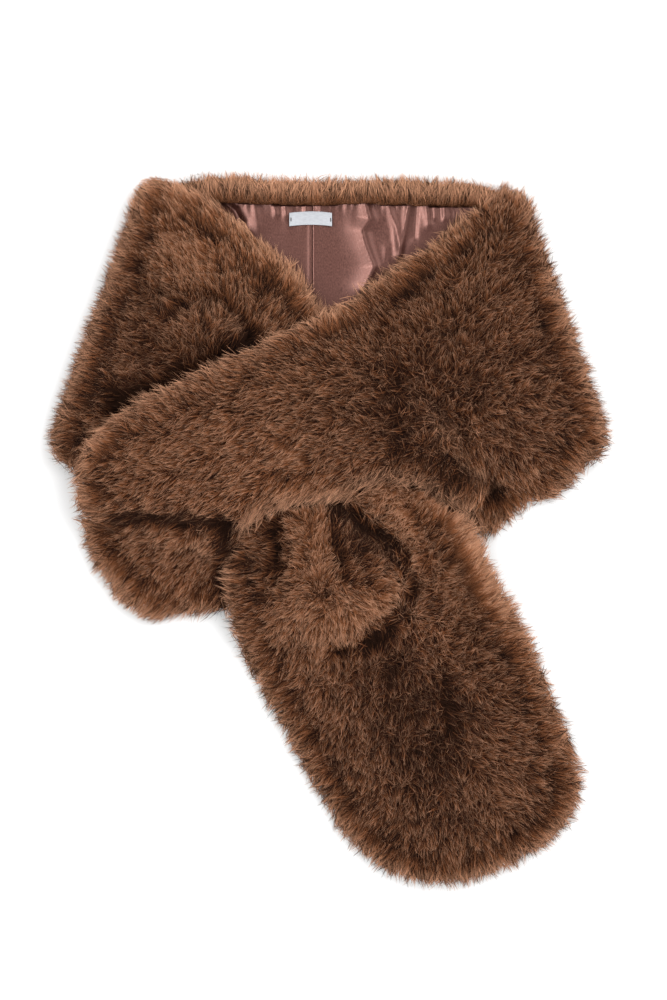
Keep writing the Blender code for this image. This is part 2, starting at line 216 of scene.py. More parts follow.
class Streaks:
    """Light and dark streaks that run the way the pile is brushed, seen from above; the tips stand
    higher in the light ones, and the low ones are partly painted shade.
    """

    def __init__(self, node, combs, rng):
        low, high = (np.array(corner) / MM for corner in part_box(node))
        self.start = low[:2] - STREAK_MARGIN
        shape = ((high[:2] + STREAK_MARGIN - self.start) / STREAK_WIDTH).astype(int) + 1
        lines = (np.arange(0, n + STREAK_CELLS, STREAK_CELLS) for n in shape)
        cells = np.stack(np.meshgrid(*lines, indexing="ij"), -1)
        brush, lying = combed(self.start + cells.reshape(-1, 2) * STREAK_WIDTH, combs)
        stride = (brush * np.clip(lying + 0.25, 0.3, 1)[:, None]).reshape(cells.shape)
        grain = rng.normal(0, 1, shape)
        total = np.zeros(shape)
        for way in (-1, 1):
            i, j = (a.astype(float) for a in np.indices(shape))
            for _ in range(STREAK_STEPS):
                at = (
                    np.clip(i + 0.5, 0, shape[0] - 1).astype(int),
                    np.clip(j + 0.5, 0, shape[1] - 1).astype(int),
                )
                total += grain[at]
                step = stride[at[0] // STREAK_CELLS, at[1] // STREAK_CELLS]
                i += way * step[..., 0]
                j += way * step[..., 1]
        self.height = total / total.std()

    def at(self, points):
        cell = np.rint((points[:, :2] - self.start) / STREAK_WIDTH).astype(int)
        cell = np.clip(cell, 0, np.array(self.height.shape) - 1)
        return self.height[cell[:, 0], cell[:, 1]]


HAIR_WIDTH = 0.72
DARK_BELOW = 11.0  # how far under the tips no more light reaches the hairs
MAP_ENDS, MAP_WIDTH = (0.02, 0.98), 0.008  # the UV map stays clear of its own edges


def hairs_mesh(name, root, bend, tip, side, tone, depth):
    """Flat pointed hairs of two triangles each, all in one mesh. In the UV map, across is the hair's
    own tone and up is how near each of its points lies to the tips around it, which the fur material
    turns into painted shade."""
    count = len(root)
    half = side * HAIR_WIDTH / 2
    corners = np.stack([root, bend - half, bend + half, tip], 1)
    loops = np.array([0, 1, 2, 1, 3, 2])
    mesh = bpy.data.meshes.new(name)
    mesh.vertices.add(count * 4)
    mesh.vertices.foreach_set("co", (corners * MM).ravel())
    mesh.loops.add(count * 6)
    mesh.loops.foreach_set("vertex_index", (np.arange(count)[:, None] * 4 + loops).ravel())
    mesh.polygons.add(count * 2)
    mesh.polygons.foreach_set("loop_start", np.arange(count * 2) * 3)
    across = np.array([0, -MAP_WIDTH / 2, MAP_WIDTH / 2, 0])
    light = 1 - np.clip(depth / DARK_BELOW, *MAP_ENDS)
    uv = np.stack([tone[:, None] + across, light[:, [0, 1, 1, 2]]], -1)[:, loops]
    mesh.update(calc_edges=True)
    mesh.uv_layers.new(name="OFBake").data.foreach_set("uv", uv.ravel())
    obj = bpy.data.objects.new(name, mesh)
    bpy.context.scene.collection.objects.link(obj)
    return obj


HAIR_LENGTH, LENGTH_VARIES = 23.0, 0.2
LONG_HAIRS = 0.35  # the share that are long, fine and pale at the tip
LONG_WIDE, SHORT_WIDE = 0.8, 1.05
LOCK_HAIRS, LOCK_RADIUS, LOCK_SPREAD = 3, 0.6, 0.7
LOCK_CLOSES = 0.35  # how much of a lock's width is left at its tip
TUFT_SIZES, TUFT_HEIGHTS, TUFT_PULLS = (7.0, 13.0), (0.65, 0.75), (0.65, 1.1)
TUFT_CLOSES = 0.5  # how far the locks lean in to form a tuft
RUFFLE_SIZE, RUFFLE_TURNS = 34.0, 0.035
ROOT_ROOM = 0.62  # the share of the solid's depth that the hairs may use
SINKS_INTO = 0.45  # the share of that room that a parting may take
BRUSHED_FULLY = 0.6  # pile that lies down this far goes all the way the comb says
UNBRUSHED = 0.25  # and this is how far pile that stands up still does
STRAYS, LAID_STRAYS, TIP_STRAYS = 0.3, 0.1, 0.3
UPRIGHT, LYING = 22.0, 77.0  # degrees from square to the cloth
LEAN_VARIES = 0.12
LEAST_RISE = 3.0
RUN_SHARE = 0.92  # a hair is bent, so its tip lies a little nearer to its root
BEND_SHARES, BEND_ARCH, BEND_SWAYS = (0.45, 0.55), 0.09, 0.7
TIPS_VARY, TIP_SPREAD, EDGE_SPREAD = 0.6, 0.9, 1.6
TUFT_STANDS, RUFFLE_STANDS, STREAK_STANDS, LONG_STANDS = 0.7, 0.8, 0.8, 1.0
EDGE_WISPS = 5.2
WISPS, WISP_LENGTH, WISP_THINS = 0.12, 7.0, 4  # a few fine hairs stand out further at the edges
STANDS_OUT = 13.0  # no tip stands further out than this
TABLE_GAP = 0.6
LINING_GAP = 13.5  # from the table to the hairs that lie on the lining
SEAM_PAST, SEAM_NEAR = 0.8, 4
FACES_OUT, FACES_UP, FACES_VARY = 0.4, 0.6, 0.35
LYING_TONE = 1.15  # pile that lies down shows the pale sides of its hairs; pile that stands up is painted darker, for its undercoat and the painted shade seen down into it
LONG_TONE, SHORT_TONE = 0.67, 0.03
UNDER_TONE = 0.6  # how far the short dark hairs follow the shade of the long ones
# The tuft, ruffle and streak tones paint tips lighter where they stand high and darker where they
# sink, as painted shade; the lock and hair tones are the hairs' own random tone.
TUFT_TONE, RUFFLE_TONE, LOCK_TONE, HAIR_TONE, STREAK_TONE = 0.05, 0.04, 0.08, 0.15, 0.2
DARK_ALONG = 0.42  # a hair also darkens along itself, however open the pile is
EDGE_TONE, EDGE_LIGHT = 0.3, 0.72  # the light comes through the pile towards the edges
EDGE_TONE_GROWS, EDGE_LIGHT_GROWS = 1.5, 1.8
SEAM_LIGHT = 0.6  # the hairs rolled over the seam are lit nearly to their roots


def grow_pile(name, node, covers, combs, partings_and_shades, count, meshes, seed, seam=None):
    """Hairs whose tips lie on the node's surface, in tufts that are brushed as the table says."""
    rng = np.random.default_rng(seed)
    points, triangles, normals = smooth_skin(node)
    shown = bare(points, normals, covers)
    inward = cast(trees[node], points - normals, -normals, FAR)
    corner, share = locks(rng, points, triangles, shown, count // LOCK_HAIRS)
    place = (points[corner] * share[..., None]).sum(1)
    square = unit((normals[corner] * share[..., None]).sum(1))
    room = (inward[corner] * share).sum(1) * ROOT_ROOM
    brush, lying = combed(place, combs)
    sink, dark = parted_and_shaded(place, partings_and_shades)
    sink = np.minimum(sink, room * SINKS_INTO)
    small, pull = waves(place, TUFT_SIZES[0], rng)
    large, tug = waves(place, TUFT_SIZES[1], rng)
    tuft = TUFT_HEIGHTS[0] * small + TUFT_HEIGHTS[1] * large
    gather = TUFT_PULLS[0] * pull + TUFT_PULLS[1] * tug
    ruffle, ruffled = waves(place, RUFFLE_SIZE, rng)
    toward = np.concatenate([brush, np.zeros((len(brush), 1))], 1)
    toward *= UNBRUSHED + (1 - UNBRUSHED) * np.clip(lying, 0, BRUSHED_FULLY)[:, None] / BRUSHED_FULLY
    strays = STRAYS - LAID_STRAYS * np.clip(lying, 0, 1)
    toward += rng.normal(0, 1, toward.shape) * strays[:, None]
    toward += ruffled * RUFFLE_SIZE * RUFFLE_TURNS
    toward = toward - square * (toward * square).sum(1, keepdims=True)
    strength = np.minimum(np.linalg.norm(toward, axis=1), 1)
    edge = 1 - np.clip(square[:, 2], 0, 1)
    # Painted light in the tone: upright pile is painted darker for the shade seen down into it, the
    # edges paler where light comes through, and the partings' dark is painted shade.
    tone = LYING_TONE * (lying - 0.5) + EDGE_TONE * np.minimum(edge * EDGE_TONE_GROWS, 1) - dark
    # Painted shade with the hairs' own mottle: tufts and ruffles that sink are painted darker, and
    # each lock gets its own random tone.
    mottle_and_shade = TUFT_TONE * tuft + RUFFLE_TONE * ruffle + rng.normal(0, LOCK_TONE, len(place))
    lying = np.clip(lying * strength + rng.normal(0, LEAN_VARIES, len(lying)), 0, 1)
    streaks = Streaks(node, combs, rng)
    stand = rng.normal(-TIPS_VARY, TIPS_VARY, len(place))
    stand = stand + TUFT_STANDS * tuft + RUFFLE_STANDS * ruffle - sink
    stand += STREAK_STANDS * streaks.at(place)
    stand += edge * np.abs(rng.normal(0, EDGE_WISPS, len(place)))
    toward = unit(toward)
    across = unit(np.cross(square, toward))
    lean_in = across * (gather * across).sum(1, keepdims=True) * TUFT_CLOSES

    place, square, toward, across, lean_in = (
        np.repeat(a, LOCK_HAIRS, 0) for a in (place, square, toward, across, lean_in)
    )
    lying, room, tone, mottle_and_shade, stand, edge = (
        np.repeat(a, LOCK_HAIRS) for a in (lying, room, tone, mottle_and_shade, stand, edge)
    )
    total = len(place)
    lean = np.radians(UPRIGHT + (LYING - UPRIGHT) * lying) + rng.normal(0, LEAN_VARIES, total)
    length = HAIR_LENGTH * (1 + rng.normal(0, LENGTH_VARIES, total))
    rise = np.minimum(length * np.cos(lean), np.maximum(room, LEAST_RISE))
    run = np.sqrt(np.maximum(length**2 - rise**2, 0)) * RUN_SHARE
    spread = rng.normal(0, LOCK_SPREAD, (total, 2)) * LOCK_RADIUS
    offset = toward * spread[:, :1] + across * spread[:, 1:]
    long_hair = rng.random(total) < LONG_HAIRS
    wisp = edge * (rng.random(total) < WISPS) * np.abs(rng.normal(0, WISP_LENGTH, total))
    stand = stand + rng.normal(0, TIP_SPREAD + EDGE_SPREAD * edge, total)
    stand = stand + LONG_STANDS * long_hair + wisp
    stand = np.minimum(stand, STANDS_OUT)
    tip = place + offset * LOCK_CLOSES + square * stand[:, None] + lean_in
    tip += rng.normal(0, TIP_STRAYS, (total, 3))
    root = place + offset - toward * run[:, None] - square * rise[:, None]
    bend = root * BEND_SHARES[0] + tip * BEND_SHARES[1]
    bend = bend + square * (length * BEND_ARCH)[:, None]
    bend += across * rng.normal(0, BEND_SWAYS, (total, 1))
    for end in (root, bend, tip):
        end[:, 2] = np.maximum(end[:, 2], TABLE_GAP)
    if seam is not None:
        for end, past in ((root, 0.0), (bend, SEAM_PAST)):
            end[:, 1] = np.maximum(end[:, 1], seam(end[:, 0]) + past)
            near = end[:, 1] < seam(end[:, 0]) + SEAM_NEAR
            end[:, 2] = np.where(near, np.maximum(end[:, 2], LINING_GAP), end[:, 2])
    facing = square * FACES_OUT + np.array([0, 0, FACES_UP])
    facing = unit(facing + rng.normal(0, FACES_VARY, (total, 3)))
    wide = np.where(long_hair, LONG_WIDE, SHORT_WIDE) / (1 + wisp / WISP_THINS)
    side = unit(np.cross(tip - root, facing)) * wide[:, None]
    tone = np.where(long_hair, LONG_TONE + tone, SHORT_TONE + UNDER_TONE * tone) + mottle_and_shade
    # Low streaks are painted darker, as painted shade, and each hair gets its own random tone.
    tone += STREAK_TONE * streaks.at(tip) + rng.normal(0, HAIR_TONE, total)
    tone = np.clip(tone, *MAP_ENDS)
    # Each point of a hair is painted darker the deeper it lies under the surface of the pile, as
    # painted shade; its distance from the tip gives the least darkening, which is the hair's own.
    up = np.tile([0.0, 0.0, 1.0], (total, 1))
    under = [cast(trees[node], end, up, FAR) % FAR for end in (root, bend, tip)]
    from_tip = [np.linalg.norm(tip - end, axis=1) * DARK_ALONG for end in (root, bend, tip)]
    depth = np.maximum(np.stack(under, 1), np.stack(from_tip, 1))
    depth *= 1 - EDGE_LIGHT * np.minimum(edge * EDGE_LIGHT_GROWS, 1)[:, None]
    if seam is not None:
        depth *= SEAM_LIGHT
    hairs = (root, bend, tip, side, tone, depth)
    grown = []
    for k, part in enumerate(np.array_split(np.arange(total), meshes)):
        grown.append(hairs_mesh(f"{name}_hairs_{k + 1}", *(values[part] for values in hairs)))
    return grown


BACKING_INSET = 12.0  # from the tips at an edge to the edge of the backing
BACKING_SHARE = 0.38  # the share of the height under the tips that is backing
BACKING_STEP = 5.0
BACKING_LIFT = 0.2


def backing(name, node, joins):
    """The knitted backing that carries the hairs: a sheet in from the tips on every side, but
    not where it goes on into the pieces that it joins."""
    sky, depths, reach_down = 200.0, -100.0, 300.0
    low, high = (np.array(corner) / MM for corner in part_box(node))
    x = np.arange(low[0], high[0] + BACKING_STEP, BACKING_STEP)
    y = np.arange(low[1], high[1] + BACKING_STEP, BACKING_STEP)
    grid = np.stack(np.meshgrid(x, y, indexing="ij"), -1)
    flat = grid.reshape(-1, 2)
    above = np.concatenate([flat, np.full((len(flat), 1), sky)], 1)
    below = np.concatenate([flat, np.full((len(flat), 1), depths)], 1)
    down = np.tile([0.0, 0.0, -1.0], (len(flat), 1))
    top = (sky - cast(trees[node], above, down, reach_down)).reshape(grid.shape[:2])
    bottom = (cast(trees[node], below, -down, reach_down) + depths).reshape(grid.shape[:2])
    inside = top > depths
    kept = inside.copy()
    for joined in joins:
        hit = cast(trees[joined], above, down, reach_down).reshape(grid.shape[:2])
        inside |= hit < reach_down - 1
    reach = int(BACKING_INSET / BACKING_STEP)
    for i in range(-reach, reach + 1):
        for j in range(-reach, reach + 1):
            if math.hypot(i, j) * BACKING_STEP <= BACKING_INSET:
                padded = np.pad(inside, reach)
                kept &= padded[
                    reach + i : reach + i + inside.shape[0], reach + j : reach + j + inside.shape[1]
                ]
    upper = bottom + (top - bottom) * BACKING_SHARE
    bm = bmesh.new()
    verts = {}
    for i, j in zip(*np.nonzero(kept)):
        verts[i, j] = bm.verts.new((*grid[i, j], upper[i, j]))
    for i, j in list(verts):
        ring = [(i, j), (i + 1, j), (i + 1, j + 1), (i, j + 1)]
        if all(place in verts for place in ring):
            bm.faces.new([verts[place] for place in ring])
    loose = [vert for vert in bm.verts if not vert.link_faces]
    bmesh.ops.delete(bm, geom=loose, context="VERTS")
    lifted = bmesh.ops.extrude_face_region(bm, geom=bm.faces[:], use_keep_orig=True)["geom"]
    for vert in lifted:
        if isinstance(vert, bmesh.types.BMVert):
            i = round((vert.co.x - x[0]) / BACKING_STEP)
            j = round((vert.co.y - y[0]) / BACKING_STEP)
            vert.co.z = bottom[i, j] + BACKING_LIFT
    bmesh.ops.scale(bm, vec=(MM,) * 3, verts=bm.verts[:])
    bmesh.ops.recalc_face_normals(bm, faces=bm.faces[:])
    mesh = bpy.data.meshes.new(name)
    bm.to_mesh(mesh)
    bm.free()
    mesh.shade_smooth()
    obj = bpy.data.objects.new(name, mesh)
    bpy.context.scene.collection.objects.link(obj)
    return obj


# Each ramp runs from deep in the pile (0) to the tips (1); its dark lower stops are painted shade as
# well as the hairs' own darker roots.
DARK_HAIR = [
    (0.0, (0.0024, 0.0009, 0.0005)),
    (0.4, (0.0056, 0.0021, 0.001)),
    (0.75, (0.0145, 0.0053, 0.0026)),
    (1.0, (0.027, 0.01, 0.0048)),
]
LIGHT_HAIR = [
    (0.0, (0.0064, 0.0024, 0.0013)),
    (0.4, (0.028, 0.0104, 0.0048)),
    (0.75, (0.248, 0.089, 0.0365)),
    (1.0, (0.76, 0.405, 0.245)),
]


def fur_material():
    """Brown fur: each hair is near black at its root and light at its tip, partly its own colour and
    partly painted shade by how deep it lies in the pile.
    """
    material = bpy.data.materials.new("brown fur")
    material.use_nodes = True
    nodes, links = material.node_tree.nodes, material.node_tree.links
    shader = nodes["Principled BSDF"]
    shader.inputs["Roughness"].default_value = 0.55
    shader.inputs["Specular IOR Level"].default_value = 0.03
    uv = nodes.new("ShaderNodeUVMap")
    uv.uv_map = "OFBake"
    split = nodes.new("ShaderNodeSeparateXYZ")
    links.new(uv.outputs["UV"], split.inputs["Vector"])
    ramps = []
    for stops in (DARK_HAIR, LIGHT_HAIR):
        ramp = nodes.new("ShaderNodeValToRGB")
        links.new(split.outputs["Y"], ramp.inputs["Fac"])
        ramp.color_ramp.elements[0].position = stops[0][0]
        ramp.color_ramp.elements[0].color = (*stops[0][1], 1)
        ramp.color_ramp.elements[1].position = stops[-1][0]
        ramp.color_ramp.elements[1].color = (*stops[-1][1], 1)
        for position, colour in stops[1:-1]:
            ramp.color_ramp.elements.new(position).color = (*colour, 1)
        ramps.append(ramp)
    mix = nodes.new("ShaderNodeMix")
    mix.data_type = "RGBA"
    links.new(split.outputs["X"], mix.inputs["Factor"])
    links.new(ramps[0].outputs["Color"], mix.inputs["A"])
    links.new(ramps[1].outputs["Color"], mix.inputs["B"])
    links.new(mix.outputs["Result"], shader.inputs["Base Color"])
    return material


fur = fur_material()


def weave_group():
    """Uneven threads: a colour between two, a mask and a bumped normal."""
    group = bpy.data.node_groups.new("weave", "ShaderNodeTree")
    sides = (
        ("INPUT", "Across", "Float"),
        ("INPUT", "Along", "Float"),
        ("INPUT", "Relief", "Float"),
        ("INPUT", "Low colour", "Color"),
        ("INPUT", "High colour", "Color"),
        ("OUTPUT", "Colour", "Color"),
        ("OUTPUT", "Mask", "Float"),
        ("OUTPUT", "Normal", "Vector"),
    )
    for side, title, kind in sides:
        group.interface.new_socket(title, in_out=side, socket_type="NodeSocket" + kind)
    nodes, links = group.nodes, group.links
    given, taken = nodes.new("NodeGroupInput"), nodes.new("NodeGroupOutput")
    place, stretch = nodes.new("ShaderNodeTexCoord"), nodes.new("ShaderNodeVectorMath")
    stretch.operation = "MULTIPLY"
    counts = nodes.new("ShaderNodeCombineXYZ")
    for axis, title in (("X", "Across"), ("Y", "Along"), ("Z", "Across")):
        links.new(given.outputs[title], counts.inputs[axis])
    links.new(place.outputs["Object"], stretch.inputs[0])
    links.new(counts.outputs["Vector"], stretch.inputs[1])
    threads = nodes.new("ShaderNodeTexNoise")
    threads.inputs["Scale"].default_value = 1.0
    threads.inputs["Detail"].default_value = 2.0
    links.new(stretch.outputs["Vector"], threads.inputs["Vector"])
    mask = nodes.new("ShaderNodeMapRange")
    mask.inputs["From Min"].default_value = 0.3
    mask.inputs["From Max"].default_value = 0.7
    links.new(threads.outputs["Fac"], mask.inputs["Value"])
    links.new(mask.outputs["Result"], taken.inputs["Mask"])
    mix = nodes.new("ShaderNodeMix")
    mix.data_type = "RGBA"
    links.new(mask.outputs["Result"], mix.inputs["Factor"])
    links.new(given.outputs["Low colour"], mix.inputs["A"])
    links.new(given.outputs["High colour"], mix.inputs["B"])
    links.new(mix.outputs["Result"], taken.inputs["Colour"])
    bump = nodes.new("ShaderNodeBump")
    bump.inputs["Distance"].default_value = 0.0002
    links.new(given.outputs["Relief"], bump.inputs["Strength"])
    links.new(mask.outputs["Result"], bump.inputs["Height"])
    links.new(bump.outputs["Normal"], taken.inputs["Normal"])
    return group


weave = weave_group()


def woven(name, across, along, relief, low, high):
    """A woven or knitted material, with the node that holds its threads."""
    material = bpy.data.materials.new(name)
    material.use_nodes = True
    nodes, links = material.node_tree.nodes, material.node_tree.links
    shader = nodes["Principled BSDF"]
    threads = nodes.new("ShaderNodeGroup")
    threads.node_tree = weave
    threads.inputs["Across"].default_value = across
    threads.inputs["Along"].default_value = along
    threads.inputs["Relief"].default_value = relief
    threads.inputs["Low colour"].default_value = (*low, 1)
    threads.inputs["High colour"].default_value = (*high, 1)
    links.new(threads.outputs["Colour"], shader.inputs["Base Color"])
    links.new(threads.outputs["Normal"], shader.inputs["Normal"])
    return material, shader, threads


def backing_material():
    material, shader, _ = woven(
        "dark knitted backing",
        across=400,
        along=400,
        relief=0.4,
        low=(0.012, 0.006, 0.0036),
        high=(0.04, 0.02, 0.012),
    )
    shader.inputs["Roughness"].default_value = 0.9
    shader.inputs["Specular IOR Level"].default_value = 0.1
    return material


knit = backing_material()


def fur_piece(name, node, joins, pile):
    """A stretch of the fur strip: its backing, with the hairs that grow from it."""
    sheet = backing(name + "_backing", node, joins)
    sheet.data.materials.append(knit)
    grown = grow_pile(name, node, **pile)
    for hairs in grown:
        hairs.data.materials.append(fur)
    for piece in (sheet, *grown):
        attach(piece, "root")
    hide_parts(node)


BACK_COMBS = [
    Comb(-150, 345, 105, 0.75),
    Comb(-60, 345, 96, 0.8),
    Comb(0, 345, 80, 0.85),
    Comb(60, 345, 97, 0.75),
    Comb(140, 345, 85, 0.75),
]
BACK_PARTINGS = [
    PartingAndShade(-160, 352, -95, 352, 0, 14, -4, 0),
    PartingAndShade(150, 346, 60, 349, 0, 12, -3, 0),
]


def neck_seam(x):
    """Just below the upper edge of the lining, which the hairs roll over."""
    line = np.interp(x, [-120, -60, -20, 30, 75, 135], [330.0, 327.2, 326.6, 327.4, 326.4, 325.0])
    return line + 0.5 * np.sin(x / 5.1) + 0.3 * np.sin(x / 2.3 + 1)


fur_piece(
    "back",
    "back_fur",
    joins=[],
    pile=dict(
        covers=["lining_left", "lining_right", "left_front", "right_front"],
        combs=BACK_COMBS,
        partings_and_shades=BACK_PARTINGS,
        count=30000,
        meshes=1,
        seed=1,
        seam=neck_seam,
    ),
)

# The left front is the next stretch of the strip, turned over at the left shoulder so that its
# fur is up. A crease crosses it where it starts to gather towards the slit.
LEFT_COMBS = [
    Comb(-185, 332, 135, 0.6),
    Comb(-150, 335, 118, 1.0),
    Comb(-120, 318, 108, 1.0),
    Comb(-195, 290, 150, 0.55),
    Comb(-160, 295, 134, 0.8),
    Comb(-125, 290, 122, 0.95),
    Comb(-96, 278, 104, 1.0),
    Comb(-75, 268, 88, 1.0),
    Comb(-55, 250, 74, 1.0),
    Comb(-32, 228, 50, 0.9),
    Comb(-160, 260, 132, 0.6),
    Comb(-125, 258, 122, 0.65),
    Comb(-90, 238, 100, 0.7),
    Comb(-60, 218, 62, 0.7),
    Comb(-205, 235, 158, 0.4),
    Comb(-222, 190, 160, 0.4),
    Comb(-240, 140, 165, 0.35),
    Comb(-262, 100, 178, 0.35),
    Comb(-252, 58, 212, 0.35),
    Comb(-180, 240, 150, 0.25),
    Comb(-190, 190, 170, 0.25),
    Comb(-205, 140, 175, 0.3),
    Comb(-158, 205, 150, 0.45),
    Comb(-150, 225, 120, 0.45),
    Comb(-125, 225, 85, 0.45),
    Comb(-100, 210, 50, 0.55),
    Comb(-85, 195, 25, 0.4),
    Comb(-130, 195, 90, 0.5),
    Comb(-160, 175, 160, 0.35),
    Comb(-200, 120, 180, 0.3),
]
# The dark column is painted shade along the crease and beside the right front's edge; below zero it
# is a painted highlight on the shoulder.
LEFT_PARTINGS_AND_SHADES = [
    PartingAndShade(-184, 226, -78, 202, 18, 10, -3, 0),
    PartingAndShade(-168, 216, -76, 200, 29, 7, 5, 0.35),
    PartingAndShade(-214, 125, -80, 185, -4, 19, 6, 1.0),
    PartingAndShade(-174, 334, -138, 275, 0, 25, 0, -0.4),
    PartingAndShade(-190, 340, -120, 352, 3, 14, -6, 0),
    PartingAndShade(-114, 320, -82, 298, 0, 8, 5, 0),
    PartingAndShade(-178, 222, -188, 178, 0, 9, 2, 0.2),
]
fur_piece(
    "left_front",
    "left_front",
    joins=["tail"],
    pile=dict(
        covers=["right_front", "tail"],
        combs=LEFT_COMBS,
        partings_and_shades=LEFT_PARTINGS_AND_SHADES,
        count=84000,
        meshes=1,
        seed=2,
    ),
)

# The right front is turned over at the right shoulder and crosses over the left one. The slit
# cut through it takes the other end of the strip.
RIGHT_COMBS = [
    Comb(-252, 62, 185, 0.75),
    Comb(-232, 95, 165, 0.8),
    Comb(-190, 125, 150, 0.75),
    Comb(-140, 152, 145, 0.7),
    Comb(-225, 45, 197, 0.6),
    Comb(-185, 85, 193, 0.6),
    Comb(-140, 110, 199, 0.6),
    Comb(-95, 130, 197, 0.6),
    Comb(-180, 40, 204, 0.6),
    Comb(-130, 60, 208, 0.55),
    Comb(-106, 70, 208, 0.55),
    Comb(-75, 50, 208, 0.95),
    Comb(-40, 45, 212, 0.95),
    Comb(-50, 85, 205, 0.8),
    Comb(-120, 20, 208, 0.8),
    Comb(-85, 10, 220, 0.85),
    Comb(-45, 35, 228, 0.9),
    Comb(-248, 5, 193, 0.6),
    Comb(-236, -35, 213, 0.7),
    Comb(-205, -65, 225, 0.75),
    Comb(-165, -72, 238, 0.75),
    Comb(-130, -75, 245, 0.75),
    Comb(-100, -68, 240, 0.6),
    Comb(-220, 20, 205, 0.6),
    Comb(-190, -20, 215, 0.65),
    Comb(-150, -30, 228, 0.7),
    Comb(-115, -20, 225, 0.6),
    Comb(-90, 178, 160, 0.7),
    Comb(-60, 170, 170, 0.55),
    Comb(-30, 202, 135, 0.75),
    Comb(0, 218, 105, 0.8),
    Comb(-20, 170, 160, 0.5),
    Comb(0, 130, 190, 0.4),
    Comb(-10, 90, 205, 0.5),
    Comb(5, 55, 220, 0.65),
    Comb(40, 60, 210, 0.5),
    Comb(30, 110, 170, 0.3),
    Comb(35, 242, 130, 0.75),
    Comb(70, 262, 140, 0.8),
    Comb(110, 285, 135, 0.75),
    Comb(145, 315, 115, 0.7),
    Comb(172, 335, 75, 0.65),
    Comb(40, 200, 150, 0.45),
    Comb(75, 215, 140, 0.5),
    Comb(60, 130, 180, 0.05),
    Comb(62, 160, 170, 0.15),
    Comb(65, 90, 200, 0.1),
    Comb(110, 240, 110, 0.4),
    Comb(90, 180, 90, 0.2),
    Comb(115, 200, 75, 0.2),
    Comb(140, 270, 80, 0.5),
    Comb(110, 110, 60, 0.05),
    Comb(150, 150, 40, 0.15),
    Comb(150, 220, 55, 0.45),
    Comb(120, 70, 250, 0.35),
    Comb(195, 300, 45, 0.45),
    Comb(180, 250, 40, 0.4),
    Comb(215, 230, 25, 0.4),
    Comb(238, 170, 12, 0.4),
    Comb(258, 120, 0, 0.4),
    Comb(200, 160, 20, 0.4),
    Comb(180, 100, -30, 0.35),
    Comb(215, 90, -15, 0.5),
    Comb(270, 82, -15, 0.5),
    Comb(245, 60, -35, 0.6),
    Comb(205, 42, -55, 0.65),
    Comb(165, 8, -70, 0.6),
    Comb(150, 50, -75, 0.4),
    Comb(185, 60, -60, 0.55),
    Comb(140, 15, -90, 0.5),
]
# The dark column is painted shade in the creases and along the tail's side; below zero it paints
# broad patches paler, as painted light.
RIGHT_PARTINGS_AND_SHADES = [
    PartingAndShade(60, 172, 64, 82, 4, 14, 4, 0.2),
    PartingAndShade(108, 43, 166, 37, 3, 8, 2, 0.6),
    PartingAndShade(-222, 9, -105, 1, 3, 9, 5, 1.1),
    PartingAndShade(-113, 0, -111, -84, 0, 9, 5, 1.3),
    PartingAndShade(-207, -66, -182, -84, 0, 12, -8, 0),
    PartingAndShade(-100, 16, -8, 38, 0, 8, -5, 0),
    PartingAndShade(100, 46, 148, 10, 0, 7, -4, -0.1),
    PartingAndShade(-215, -42, -140, -64, 0, 14, 0, -0.16),
    PartingAndShade(-155, 78, -35, 52, 0, 20, 0, -0.12),
    PartingAndShade(205, 240, 262, 100, 10, 20, 0, -0.14),
]
fur_piece(
    "right_front",
    "right_front",
    joins=["tail"],
    pile=dict(
        covers=["tail"],
        combs=RIGHT_COMBS,
        partings_and_shades=RIGHT_PARTINGS_AND_SHADES,
        count=174000,
        meshes=2,
        seed=3,
    ),
)

